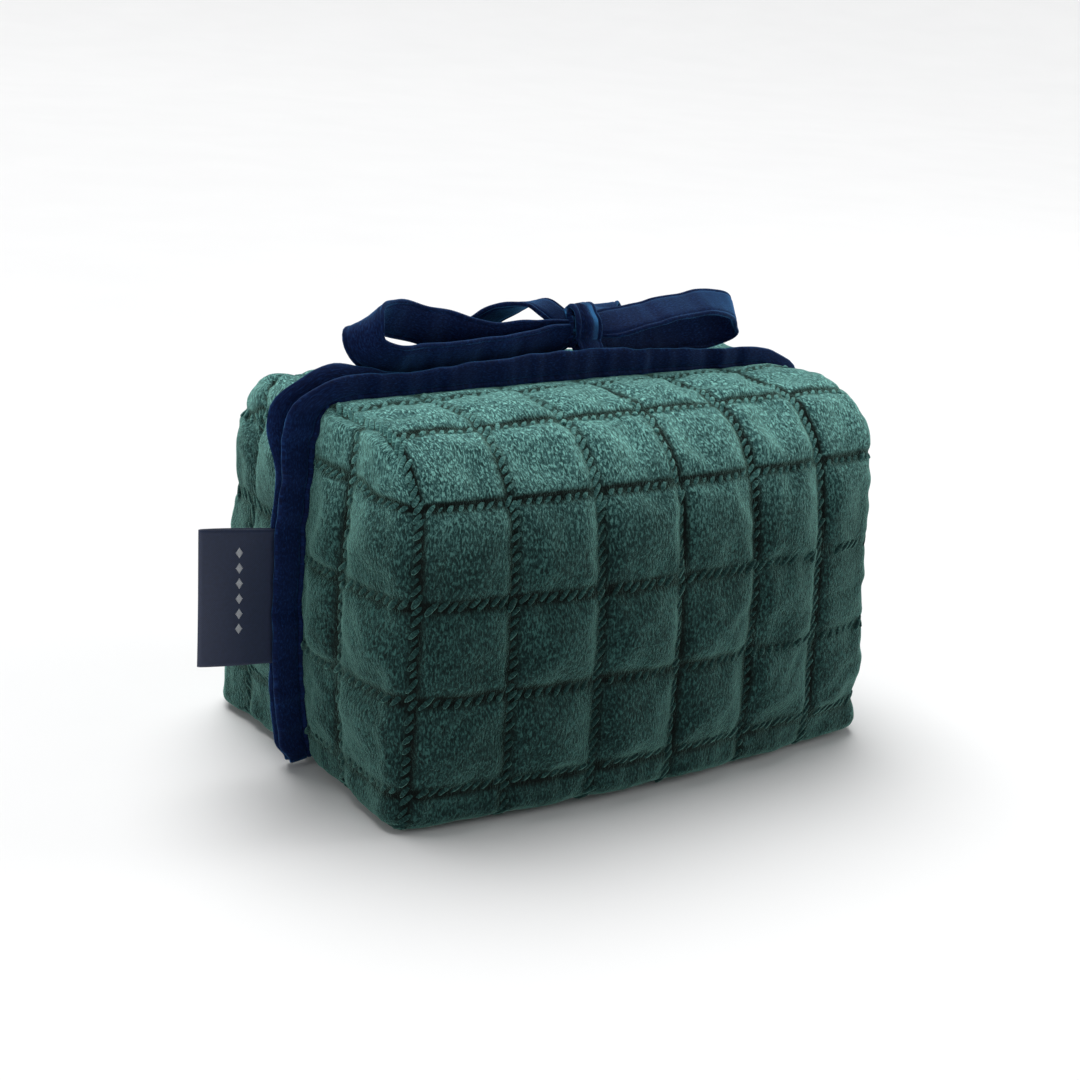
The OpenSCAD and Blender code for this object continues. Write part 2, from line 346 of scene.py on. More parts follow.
def velvet(name, dark, middle, light, streak, contrast, sheen, sheen_tint, pile, check=False, painted_top_highlight=1.0):
    """Velvet with short wavy streaks of pile along the cloth, streak mm wide. Its cloth attribute
    is in mm. check darkens the sewn lines with painted shade, and the top highlight factor paints a
    highlight on the top of the body, making its colour paler."""
    look = Look(name)
    cloth, xyz = look.attribute("cloth")
    along = look.stretched(cloth, (1.0 / streak, 0.42 / streak, 1.0))
    fine = look.noise(along, 1.0, detail=3.0, rough=0.62, distortion=0.7)
    nap = look.noise(cloth, 0.055, detail=3.0, rough=0.55)
    tone = look.math("MULTIPLY_ADD", fine, contrast, 0.5 - contrast * 0.5)
    tone = look.math("ADD", tone, look.math("MULTIPLY_ADD", nap, 0.4, -0.2), clamp=True)
    base = look.colours(tone, ((0.12, dark), (0.5, middle), (0.88, light)))
    # Painted highlight: towards the top of the body the colour is multiplied paler, standing for the light
    # from above
    if painted_top_highlight > 1:
        painted_highlight_ramp = look.node("ShaderNodeMapRange", {"Value": xyz[1], "From Min": PAINTED_HIGHLIGHT_FROM, "From Max": PAINTED_HIGHLIGHT_TO})
        painted_highlight_ramp.interpolation_type = "SMOOTHSTEP"
        pale = look.mixed(1.0, base, (1.3 * painted_top_highlight, painted_top_highlight, painted_top_highlight), "MULTIPLY")
        base = look.mixed(painted_highlight_ramp.outputs[0], base, pale)
    # Painted shade: a band along each sewn line is darkened towards near black, standing for the shade in the
    # quilted grooves
    if check:
        _, from_line = look.attribute("groove")
        nearest = look.math("MINIMUM", from_line[0], from_line[1])
        band = look.math("SUBTRACT", 1.0, look.math("DIVIDE", nearest, BAND_W * 0.66), clamp=True)
        band = look.math("MULTIPLY", band, 2.1)
        band = look.math("MULTIPLY", band, from_line[2], clamp=True)
        base = look.mixed(band, base, tuple(c * 0.12 for c in dark))
    return look.surface({
        "Base Color": base,
        "Roughness": 0.86,
        "Specular IOR Level": 0.12,
        "Sheen Weight": sheen,
        "Sheen Roughness": 0.38,
        "Sheen Tint": sheen_tint,
        "Normal": look.bumped(fine, pile * MM, 0.9),
    })


def woven(name, dark, light, thread, rough, sheen=0.1, relief=0.12):
    """Plain weave of threads that are thread mm wide, on the cloth attribute in mm."""
    look = Look(name)
    cloth, xyz = look.attribute("cloth")
    ripples = [look.math("SINE", look.math("MULTIPLY", xyz[axis], math.pi / thread)) for axis in (0, 1)]
    over = look.math("MULTIPLY_ADD", look.math("MULTIPLY", *ripples), 0.5, 0.5)
    fuzz = look.math("MULTIPLY", look.noise(cloth, 0.9, detail=3.0), 0.5)
    tone = look.math("ADD", fuzz, look.math("MULTIPLY", over, 0.5), clamp=True)
    return look.surface({
        "Base Color": look.colours(tone, ((0.2, dark), (0.8, light))),
        "Roughness": rough,
        "Sheen Weight": sheen,
        "Normal": look.bumped(over, relief * MM, 0.8),
    })


def fleece(name, dark, light):
    """Felted wadding fibres."""
    look = Look(name)
    cloth, _ = look.attribute("cloth")
    fibres = look.noise(look.stretched(cloth, (1.6, 0.5, 1)), 1.0, 5.0, 0.7, 1.5)
    return look.surface({
        "Base Color": look.colours(fibres, ((0.3, dark), (0.7, light))),
        "Roughness": 0.95,
        "Sheen Weight": 0.3,
        "Normal": look.bumped(fibres, 0.4 * MM),
    })


GREEN = velvet(
    "green_velvet", (0.0014, 0.0068, 0.0070), (0.0066, 0.0250, 0.0248), (0.037, 0.112, 0.102),
    streak=0.6, contrast=2.6, sheen=0.8, sheen_tint=(0.36, 0.78, 0.67), pile=0.6, check=True, painted_top_highlight=6.0,
)
GREEN_BAR = velvet(
    "green_velvet_rib", (0.0032, 0.0135, 0.0133), (0.0082, 0.0310, 0.0300), (0.037, 0.112, 0.102),
    streak=0.55, contrast=1.8, sheen=0.8, sheen_tint=(0.36, 0.78, 0.67), pile=0.3, painted_top_highlight=5.0,
)
NAVY = velvet(
    "navy_velvet", (0.0005, 0.0026, 0.0170), (0.0013, 0.0072, 0.0440), (0.0065, 0.0310, 0.1200),
    streak=0.45, contrast=1.5, sheen=0.5, sheen_tint=(0.10, 0.45, 1.0), pile=0.14,
)
LINING = woven("lining_weave", (0.010, 0.022, 0.070), (0.026, 0.050, 0.130), 0.45, rough=0.55, sheen=0.15)
LABEL = woven("label_weave", (0.006, 0.012, 0.036), (0.013, 0.026, 0.076), 0.3, rough=0.5, relief=0.06)
THREAD = woven("pale_thread", (0.50, 0.52, 0.55), (0.80, 0.82, 0.84), 0.25, rough=0.6)
NAVY_THREAD = woven("navy_thread", (0.006, 0.016, 0.06), (0.02, 0.05, 0.15), 0.25, rough=0.5)
WADDING = fleece("wadding_fibre", (0.62, 0.62, 0.60), (0.86, 0.86, 0.83))


# ------------------------ the shape of one half
def edge_radius(v):
    """Radius of the strip's left and right edges: bottom, upright edge, then the darted top."""
    r = UPRIGHT_R + (BOTTOM_R - UPRIGHT_R) * (1 - ramp(v, HALF_D - BOTTOM_R, HALF_D + BOTTOM_R))
    return r + (DART_R - UPRIGHT_R) * ramp(v, HALF_D + BODY_H - TOP_R, HALF_D + BODY_H + TOP_R * 0.5)


def profile(v):
    """Place (d, z) on the rounded profile of a half and the way out, for distances v along it."""
    v = np.asarray(v, float)
    way = np.zeros(v.shape + (2,))
    turn_low = np.clip((v - (HALF_D - BOTTOM_R)) / (2 * BOTTOM_R), 0, 1) * math.pi / 2
    turn_top = np.clip((v - (HALF_D + BODY_H - TOP_R)) / (2 * TOP_R), 0, 1) * math.pi / 2
    lower = v < HALF_D + BOTTOM_R
    way[..., 0] = np.where(lower, np.sin(turn_low), np.cos(turn_top))
    way[..., 1] = np.where(lower, -np.cos(turn_low), np.sin(turn_top))
    flat = np.clip(v, 0, HALF_D - BOTTOM_R)
    low_arc = np.stack([flat + BOTTOM_R * np.sin(turn_low), BOTTOM_R * (1 - np.cos(turn_low))], -1)
    wall = np.clip(v - HALF_D, BOTTOM_R, BODY_H - TOP_R)
    back = np.clip(v - (HALF_D + BODY_H + TOP_R), 0, HALF_D)
    high_d = HALF_D - TOP_R + TOP_R * np.cos(turn_top) - back
    high_arc = np.stack([high_d, wall + TOP_R * np.sin(turn_top)], -1)
    return np.where(lower[..., None], low_arc, high_arc), way


def strip_place(x, v, inset):
    """Place on the strip that makes the bottom, the face and the top, before the bulges."""
    place, way = profile(v)
    r = edge_radius(v)
    from_edge = np.clip(HALF_W - np.abs(x), 0, None)
    turn = np.where(from_edge < r, math.pi / 4 * (1 - from_edge / r), 0)
    out_x = np.where(from_edge < r, HALF_W - r + r * np.sin(turn), np.abs(x)) * np.sign(x)
    sink = r * (1 - np.cos(turn))
    normal = np.stack([np.sin(turn) * np.sign(x), np.cos(turn) * way[..., 0], np.cos(turn) * way[..., 1]], -1)
    d = place[..., 0] - way[..., 0] * sink
    z = place[..., 1] - way[..., 1] * sink
    return np.stack([out_x, d, z], -1) - normal * inset, normal


def round_corner(a, b):
    """A square corner of side 1 squeezed into a quarter disc: radius, and angle from the first axis."""
    big = np.maximum(a, b)
    angle = np.where(a >= b, b / np.maximum(a, 1e-9), 2 - a / np.maximum(b, 1e-9)) * math.pi / 4
    return big, angle


def side_place(sign, d, z, inset):
    """Place on a side patch, squeezed into the rounded profile, before the bulges."""
    place = np.stack([d, z], -1).astype(float)
    gaps = np.stack([HALF_D - d, z, BODY_H - z], -1)
    nearest = gaps.argmin(-1)
    way = np.array([[1.0, 0], [0, -1.0], [0, 1.0]])[nearest]
    gap = gaps.min(-1)
    v = np.choose(nearest, [HALF_D + z, d, STRIP_L - d])
    for r, centre_z, sense in ((BOTTOM_R, BOTTOM_R, -1), (TOP_R, BODY_H - TOP_R, 1)):
        centre_d = HALF_D - r
        a, b = (d - centre_d) / r, (z - centre_z) * sense / r
        inside = (a > 0) & (b > 0)
        radius, angle = round_corner(np.clip(a, 0, 1), np.clip(b, 0, 1))
        outward_way = np.stack([np.cos(angle), sense * np.sin(angle)], -1)
        on_arc = np.array([centre_d, centre_z]) + outward_way * (radius * r)[..., None]
        place = np.where(inside[..., None], on_arc, place)
        way = np.where(inside[..., None], outward_way, way)
        gap = np.where(inside, r * (1 - radius), gap)
    r = edge_radius(v)
    turn = np.where(gap < r, math.pi / 2 - math.pi / 4 * (1 - gap / r), math.pi / 2)
    new_gap = np.where(gap < r, r * (1 - np.cos(turn)), gap)
    place = place - way * (new_gap - gap)[..., None]
    x = HALF_W - r + r * np.sin(turn)
    normal = np.stack([sign * np.sin(turn), np.cos(turn) * way[..., 0], np.cos(turn) * way[..., 1]], -1)
    return np.stack([sign * x, place[..., 0], place[..., 1]], -1) - normal * inset, normal


def bulged(p):
    """The places with the soft bulges of the faces, the sides and the top added."""
    x, d, z = p[..., 0], p[..., 1], p[..., 2]
    belly = hump(2 * z / BODY_H - 1)
    across = hump(x / HALF_W)
    reach = np.clip(d / HALF_D, 0, 1)
    side = np.clip(np.abs(x) / HALF_W, 0, 1) ** 6
    out = p.copy()
    out[..., 0] += np.sign(x) * SIDE_BULGE * belly * (1 - reach**2) * side
    out[..., 0] += np.sign(x) * FOOT_SIDE_FLARE * np.clip(1 - z / 70, 0, 1) * reach**1.5 * side
    paunch = np.where(z > BODY_H / 2, belly, 0.7 + 0.3 * belly)
    out[..., 1] += (FACE_BULGE * paunch * across + FOOT_FLARE * np.clip(1 - z / BODY_H, 0, 1)) * reach**2
    out[..., 2] += TOP_CROWN * across * np.clip(z / BODY_H, 0, 1) ** 6
    return out


def cells(grid, flipped=False):
    """The four corners of every cell of a grid. flipped takes them the other way round."""
    corners = [grid[:-1, :-1], grid[:-1, 1:], grid[1:, 1:], grid[1:, :-1]]
    if flipped:
        corners = corners[:1] + corners[:0:-1]
    return np.stack(corners, axis=2).reshape(-1, 4, *grid.shape[2:])


class Half:
    """The grid of one half: a strip from the bottom rim up the face to the top rim, and two side patches."""

    def __init__(self, rim, n_x, n_z, n_d, inset=0.0, shift=(0.0, 0.0)):
        self.rim, self.shift = rim, shift
        self.x = np.linspace(-HALF_W, HALF_W, n_x + 1)
        self.d = np.linspace(rim, HALF_D, n_d + 1)
        self.z = np.linspace(0, BODY_H, n_z + 1)
        self.v = np.concatenate([self.d, HALF_D + self.z[1:], STRIP_L - self.d[::-1][1:]])
        grid_v, grid_x = np.meshgrid(self.v, self.x, indexing="ij")
        strip, strip_normal = strip_place(grid_x, grid_v, inset)
        places, normals = [strip.reshape(-1, 3)], [strip_normal.reshape(-1, 3)]
        uv = [np.stack([grid_x.ravel(), grid_v.ravel()], -1)]
        number = np.arange(grid_x.size).reshape(grid_x.shape)
        self.strip = number
        self.patches = {}
        for sign in (-1, 1):
            column = number[:, 0 if sign < 0 else -1]
            patch = np.zeros((n_d + 1, n_z + 1), int)
            patch[:, 0] = column[: n_d + 1]
            patch[-1, :] = column[n_d : n_d + n_z + 1]
            patch[:, -1] = column[n_d + n_z :][::-1]
            inner_d, inner_z = np.meshgrid(self.d[:-1], self.z[1:-1], indexing="ij")
            inner, inner_normal = side_place(sign, inner_d, inner_z, inset)
            start = sum(len(p) for p in places)
            patch[:-1, 1:-1] = start + np.arange(inner_d.size).reshape(inner_d.shape)
            places.append(inner.reshape(-1, 3))
            normals.append(inner_normal.reshape(-1, 3))
            uv.append(np.stack([sign * (HALF_W + HALF_D - inner_d.ravel()), HALF_D + inner_z.ravel()], -1))
            self.patches[sign] = patch
        self.places = bulged(np.vstack(places))
        self.normals = np.vstack(normals)
        self.uv = np.vstack(uv)
        self.depth = self.places[:, 1] - rim
        self._faces()

    def _faces(self):
        """Faces, and the cloth coordinates of their corners."""
        faces, cloth = [cells(self.strip)], [cells(self.uv[self.strip])]
        grid_d, grid_z = np.meshgrid(self.d, self.z, indexing="ij")
        for sign, patch in self.patches.items():
            patch_uv = np.stack([sign * (HALF_W + HALF_D - grid_d), HALF_D + grid_z], -1)
            faces.append(cells(patch, flipped=sign < 0))
            cloth.append(cells(patch_uv, flipped=sign < 0))
        self.faces = np.vstack(faces)
        self.cloth = np.vstack(cloth)

    def from_lines(self, uv):
        """Distance from the nearest sewn line each way."""
        u_lines = CHECK_U + self.shift[0]
        v_lines = CHECK_V + self.shift[1]
        du = np.abs(uv[..., 0, None] - u_lines).min(-1)
        dv = np.abs(uv[..., 1, None] - v_lines).min(-1)
        return du, dv

    def strengths(self, uv):
        """How deep the sewn lines are pulled in, each way. On the face the level ones fade to the right."""
        u, v = uv[..., 0], uv[..., 1]
        on_face = ramp(v, 70, 84) * (1 - ramp(v, 138, 150))
        right = ramp(u, -10, 60)
        upright = 0.72 + 0.5 * right
        level = 0.9 - 0.62 * right * on_face
        return upright, level

    def between(self, grid, rows, columns, a, b):
        """Place at (a, b) on a grid with these rows and columns, with the ways along both."""
        i = int(np.clip(np.searchsorted(rows, a) - 1, 0, len(rows) - 2))
        j = int(np.clip(np.searchsorted(columns, b) - 1, 0, len(columns) - 2))
        s = (a - rows[i]) / (rows[i + 1] - rows[i])
        t = (b - columns[j]) / (columns[j + 1] - columns[j])
        p = self.places[grid[i : i + 2, j : j + 2]]
        place = (1 - s) * ((1 - t) * p[0, 0] + t * p[0, 1]) + s * ((1 - t) * p[1, 0] + t * p[1, 1])
        by_row = (1 - t) * (p[1, 0] - p[0, 0]) + t * (p[1, 1] - p[0, 1])
        by_column = (1 - s) * (p[0, 1] - p[0, 0]) + s * (p[1, 1] - p[1, 0])
        return place, by_row, by_column

    def on_cloth(self, u, v):
        """Place on the grid for cloth coordinates, with the ways along u and v."""
        if abs(u) <= HALF_W:
            place, by_v, by_u = self.between(self.strip, self.v, self.x, v, u)
            return place, by_u, by_v
        sign = 1 if u > 0 else -1
        d = HALF_W + HALF_D - abs(u)
        place, by_d, by_v = self.between(self.patches[sign], self.d, self.z, d, v - HALF_D)
        return place, -sign * by_d, by_v


def to_half(places, front):
    """Turns (x, distance from the mouth, z) into the row frame for the front or the back half."""
    out = np.array(places, float)
    if front:
        out[..., 1] *= -1
    return out


def outward(faces, front):
    """Faces of a half, wound so that they look outwards."""
    return faces if front else faces[:, ::-1]


def quilting(half, seed):
    """How far each place of the cloth stands out: pillows between the sewn lines, folds and small bumps."""
    uv = half.uv
    du, dv = half.from_lines(uv)
    upright, level = half.strengths(uv)
    wide = CHECK_PITCH / 2
    flat_u = 1 - (1 - np.clip(du / wide, 0, 1)) ** 3.2
    flat_v = 1 - (1 - np.clip(dv / wide, 0, 1)) ** 3.2
    pillow = flat_u * (1 - 0.75 * (1 - flat_v) * level)
    dip = np.maximum(bell(du, GROOVE_W) * upright, bell(dv, GROOVE_W) * level)
    right = ramp(uv[:, 0], -10, 70)
    columns = (flat_u**0.8) * right * 1.1
    out = PILLOW_RISE * pillow + columns - GROOVE_DEPTH * dip
    return out + (0.55 * waves(uv, 34, seed) + 0.35 * waves(uv, 13, seed + 1))


def folds(half, seed):
    """Long soft folds: slanting ones low on the face, and shallow upright ones across it."""
    u, v = half.uv[:, 0], half.uv[:, 1]
    face = ramp(v, 58, 72) * (1 - ramp(v, 140, 160))
    low_right = ramp(u, -20, 40) * (1 - ramp(v, 95, 125)) * face
    slant = np.sin((u * 0.55 - v * 0.85) / 4.6 + waves(half.uv, 50, seed) * 1.2)
    bow = np.sin((u + 6 * waves(half.uv, 60, seed + 3)) / 7.5)
    return 0.75 * low_right * slant + 0.35 * face * bow * ramp(u, -40, 30)


def relax_by_cloth(half, front, pinned, cap):
    """How far each place moves as Blender's cloth blows the half up between its sewn lines."""
    piece = mesh_piece("quilt_sim", to_half(half.places, front), outward(half.faces, front), GREEN)
    group = piece.vertex_groups.new(name="pinned")
    for index, weight in enumerate(pinned):
        if weight > 0.01:
            group.add([index], float(weight), "REPLACE")
    cloth = piece.modifiers.new("cloth", "CLOTH")
    settings = cloth.settings
    settings.quality = 5
    settings.mass = 0.2
    settings.tension_stiffness = 12
    settings.compression_stiffness = 10
    settings.shear_stiffness = 6
    settings.bending_stiffness = 0.08
    settings.use_pressure = True
    settings.uniform_pressure_force = 4
    settings.shrink_min = -0.035
    settings.vertex_group_mass = "pinned"
    settings.pin_stiffness = 1.0
    settings.effector_weights.gravity = 0
    cloth.collision_settings.use_collision = False
    cloth.collision_settings.use_self_collision = False
    scene = bpy.context.scene
    cloth.point_cache.frame_start = 1
    cloth.point_cache.frame_end = SIM_STEPS
    for step in range(1, SIM_STEPS + 1):
        scene.frame_set(step)
    graph = bpy.context.evaluated_depsgraph_get()
    made = piece.evaluated_get(graph).to_mesh()
    moved = np.zeros(len(made.vertices) * 3)
    made.vertices.foreach_get("co", moved)
    moved = moved.reshape(-1, 3) / MM - to_half(half.places, front)
    piece.evaluated_get(graph).to_mesh_clear()
    bpy.data.objects.remove(piece)
    scene.frame_set(1)
    size = np.linalg.norm(moved, axis=1, keepdims=True)
    moved *= np.minimum(1, cap / np.maximum(size, 1e-6))
    return to_half(moved, front)


def make_shell(name, front):
    """The quilted velvet cloth of one half, with the ribs of its check."""
    rim = FRONT_RIM if front else 0.0
    seed = 11 if front else 47
    shift = (0.0, 0.0) if front else (BACK_SHIFT_U, BACK_SHIFT_V)
    half = Half(rim + 0.7, 74, 48, 24, shift=shift)
    du, dv = half.from_lines(half.uv)
    held = ramp(half.depth, 0.5, 10.0)
    upright, level = half.strengths(half.uv)
    low = 1 - ramp(np.abs(half.uv[:, 1] - HALF_D), 0, 4)
    underside = half.uv[:, 1] < HALF_D
    stand = quilting(half, seed) + folds(half, seed + 7)
    stand = np.where(underside, np.clip(stand, -2, 0.0) * 0.6, stand * (1 - 0.7 * low))
    dart = (np.abs(np.abs(half.uv[:, 0]) - HALF_W) < 0.01) & (half.uv[:, 1] > HALF_D + BODY_H + 4)
    stand = np.where(dart, stand - DART_DEPTH, stand)
    line = np.maximum(bell(du, 2.0) * upright, bell(dv, 2.0) * level)
    pinned = np.clip(np.maximum(line, 1 - held) + underside * 1.0 + dart, 0, 1)
    moved = relax_by_cloth(half, front, pinned, SIM_CAP)
    half.places += moved * (1 - 0.6 * low[:, None])
    stand = stand * 0.75
    half.places += half.normals * (stand * held)[:, None]
    half.places[:, 2] = np.maximum(half.places[:, 2], 0.0)
    # The groove attribute gives each corner's distance from the sewn lines and how strongly the material
    # paints shade into them
    corner_uv = half.cloth.reshape(-1, 2)
    cu, cv = half.from_lines(corner_uv)
    upright, level = half.strengths(corner_uv)
    shade = np.where(cu < cv, upright, level)
    zero = np.zeros(len(cu))
    faces = outward(half.faces, front)
    values = {
        "cloth": np.stack([corner_uv[:, 0], corner_uv[:, 1], zero], -1),
        "groove": np.stack([cu, cv, shade], -1),
    }
    if not front:
        values = {key: rows.reshape(-1, 4, 3)[:, ::-1].reshape(-1, 3) for key, rows in values.items()}
    piece = mesh_piece(name, to_half(half.places, front), faces, GREEN, corner_values=values)
    subdivide(piece)
    thicken(piece, SHELL_T)
    ribs = make_ribs(name + "_check_ribs", half, front, seed)
    return piece, ribs


def rib_shape():
    """A short rib with round ends: its points along, across and up, and its faces."""
    rings = [(-0.92, 0.66), (-0.4, 1.0), (0.4, 1.0), (0.92, 0.66)]
    sides = 6
    around = [(math.cos(a), math.sin(a)) for a in np.linspace(0, 2 * math.pi, sides, endpoint=False)]
    points = [(-1.1, 0, 0)] + [(s, r * c, r * h) for s, r in rings for c, h in around] + [(1.1, 0, 0)]
    faces = shifted(tube_faces(len(rings), sides, capped=False), 1)
    last = len(points) - 1
    for k in range(sides):
        n = (k + 1) % sides
        faces.append((0, 1 + n, 1 + k))
        faces.append((last, last - sides + k, last - sides + n))
    return np.array(points), faces


def make_ribs(name, half, front, seed):
    """The slanting ribs of pile along every sewn line of the check."""
    rng = np.random.default_rng(seed)
    shape, shape_faces = rib_shape()
    u_lines = CHECK_U + half.shift[0]
    v_lines = CHECK_V + half.shift[1]
    spots = []
    edge = 3.0
    top = STRIP_L - half.rim - edge
    for line in u_lines:
        beside = abs(line) > HALF_W
        start, end = (HALF_D + edge, HALF_D + BODY_H - edge) if beside else (half.rim + edge, top)
        if abs(line) < HALF_W + HALF_D - edge:
            spots += [(line, v) for v in np.arange(start, end, BAR_PITCH)]
    for line in v_lines:
        on_face = HALF_D + edge < line < HALF_D + BODY_H - edge
        end = HALF_W + HALF_D - edge if on_face else HALF_W - edge
        if half.rim + edge < line < top:
            row = np.arange(-end, end, BAR_PITCH)
            spots += [(u, line) for u in row if np.abs(u - u_lines).min() > 2.4]
    places, faces, cloth = [], [], []
    for u, v in spots:
        upright, level = half.strengths(np.array([u, v]))
        strong = upright if np.abs(u - u_lines).min() < 0.1 else level
        if strong < 0.35 and rng.random() < 0.35:
            continue
        place, by_u, by_v = half.on_cloth(u, v)
        by_u, by_v = unit(by_u), unit(by_v)
        normal = unit(np.cross(by_v, by_u))
        slant = math.radians(48 + rng.uniform(-6, 6))
        along = unit(by_u * math.cos(slant) + by_v * math.sin(slant))
        side = np.cross(normal, along)
        length = BAND_W * 0.5 * rng.uniform(1.05, 1.3)
        scaled = shape * (length, rng.uniform(0.80, 1.0), rng.uniform(0.65, 0.9))
        p = place - normal * 0.15 + scaled @ np.stack([along, side, normal])
        faces += shifted(shape_faces, len(places) * len(shape))
        places.append(p)
        cloth.append(np.stack([u + scaled[:, 0], v + scaled[:, 1], np.zeros(len(shape))], -1))
    places, cloth = np.vstack(places), np.vstack(cloth)
    places[:, 2] = np.maximum(places[:, 2], 0.05)
    return mesh_piece(name, to_half(places, front), turned(faces) if front else faces, GREEN_BAR, cloth)


def make_layer(name, front, inset, thickness, material, seed, wrinkle, fold_out):
    """A tray of cloth or wadding inside a shell. With fold_out its rim turns outwards under the binding."""
    rim = FRONT_RIM if front else 0.0
    half = Half(rim + (0.0 if fold_out else 1.2), 44, 30, 14, inset=inset)
    held = ramp(half.depth, 0.0, 9.0)
    stand = wrinkle * (waves(half.uv, 24, seed) + 0.6 * waves(half.uv, 9, seed + 1)) - wrinkle
    half.places += half.normals * (stand * held)[:, None]
    places = half.places
    faces = [list(f) for f in half.faces]
    uv = half.uv
    if fold_out:
        loop = np.concatenate(
            [half.strip[0], half.patches[1][0, 1:-1], half.strip[-1][::-1], half.patches[-1][0, 1:-1][::-1]]
        )
        start = len(places)
        lip = places[loop] + half.normals[loop] * (inset - SHELL_T - 0.1)
        lip[:, 1] = rim + 0.05
        lip[:, 2] = np.maximum(lip[:, 2], SHELL_T)
        places = np.vstack([places, lip])
        uv = np.vstack([uv, uv[loop] + 3.0])
        n = len(loop)
        faces += [[loop[k], start + k, start + (k + 1) % n, loop[(k + 1) % n]] for k in range(n)]
    if not front:
        faces = turned(faces)
    cloth = np.concatenate([uv, np.zeros((len(uv), 1))], axis=1)
    piece = mesh_piece(name, to_half(places, front), faces, material, cloth)
    subdivide(piece)
    thicken(piece, thickness)
    return piece


# ------------------------ strips that are swept along a path
def sweep(name, path, across, outline, material, wide=None, thick=None, closed_ends=True):
    """A band whose outline (across, up) is carried along path. wide and thick scale it at each step."""
    path = np.asarray(path, float)
    n, m = len(path), len(outline)
    along = unit(np.gradient(path, axis=0))
    across = np.asarray(across, float)
    across = unit(across - (across * along).sum(1, keepdims=True) * along)
    up = np.cross(along, across)
    wide = np.ones(n) if wide is None else wide
    thick = np.ones(n) if thick is None else thick
    outline = np.asarray(outline, float)
    places = (
        path[:, None]
        + across[:, None] * (outline[None, :, :1] * wide[:, None, None])
        + up[:, None] * (outline[None, :, 1:] * thick[:, None, None])
    )
    cloth = np.zeros((n, m, 3))
    cloth[..., 0] = outline[None, :, 0]
    cloth[..., 1] = run_along(path)[:, None]
    return mesh_piece(name, places, tube_faces(n, m, closed_ends), material, cloth)


def tube_outline(width, thickness, seam=1.35):
    """Cross-section of a flat sewn tube: a rounded band with a stitched line near each edge."""
    half = width / 2
    steps = [
        (half, 0.0), (half - 0.12, 0.42), (half - 0.45, 0.74),
        (half - seam + 0.3, 0.78), (half - seam, 0.42), (half - seam - 0.35, 0.78),
        (half - seam - 1.3, 0.97), (half * 0.45, 1.0), (0.0, 1.03),
    ]
    top = [(x, y * thickness / 2) for x, y in steps]
    top += [(-x, y) for x, y in top[-2::-1]]
    bottom = [(x, -y) for x, y in top[-2:0:-1]]
    return top + bottom


def ribbon(name, points, steps, seed, both_ends=False, width=RIBBON_W):
    """A flat velvet tube through points, each six numbers: its place and the way across it. It is
    gathered at its start, and with both_ends at its end too. Returned with its length."""
    path = smooth_path(points, steps)
    centre, across = path[:, :3], unit(path[:, 3:6])
    run = np.linspace(0, length_of(centre), len(centre))[:, None]
    normal = np.cross(unit(np.gradient(centre, axis=0)), across)
    centre = centre + normal * (0.3 * waves(run, 16, seed))[:, None]
    wide = 1 + 0.035 * waves(run, 22, seed + 1) - 0.45 * bell(run[:, 0], 8)
    if both_ends:
        wide -= 0.45 * bell(run[-1, 0] - run[:, 0], 8)
    thick = 1 + 0.16 * waves(run, 9, seed + 2)
    piece = sweep(name, centre, across, tube_outline(width, RIBBON_T), NAVY, wide, thick)
    return piece, length_of(centre)


# ------------------------ bindings
def mouth_path(steps):
    """The line where a binding leaves the body, from its lower left end over the top to the right."""
    side = HALF_W - 0.6
    corner = DART_R + 3.0
    points = [(-side, BINDING_END_Z)]
    points += [(-side, z) for z in np.linspace(12, BODY_H - corner - 3, 9)]
    for a in (0.5, 1.05):
        points.append((-side + corner * (1 - math.cos(a)), BODY_H - corner + corner * math.sin(a)))
    points += [(x, BODY_H) for x in np.linspace(-side + corner + 2, 0, 9)]
    points += [(-x, z) for x, z in points[-2::-1]]
    path = smooth_path([(x, 0, z) for x, z in points], steps)
    belly = hump(2 * path[:, 2] / BODY_H - 1)
    over = hump(path[:, 0] / HALF_W)
    flank = ramp(np.abs(path[:, 0]), HALF_W - 12, HALF_W - 2)
    path[:, 0] += np.sign(path[:, 0]) * SIDE_BULGE * belly * flank
    path[:, 2] += TOP_CROWN * over * ramp(path[:, 2], BODY_H - 12, BODY_H)
    return path


# Section of a binding: how far out from the body as a share of its width, and how far from the
# mouth as a share of its thickness
BINDING_SECTION = [
    (-0.9, 0.15), (0.0, 0.12), (0.25, 0.1), (0.5, 0.08), (0.75, 0.08), (0.9, 0.16), (0.97, 0.34),
    (1.0, 0.55), (0.985, 0.78), (0.94, 0.94), (0.84, 1.02), (0.66, 1.05), (0.46, 1.02), (0.3, 0.98),
    (0.235, 0.92), (0.2, 0.70), (0.165, 0.93), (0.1, 1.06), (0.04, 1.0), (-0.02, 0.8), (-0.15, 0.6),
]
BINDING_LIP = 2.2


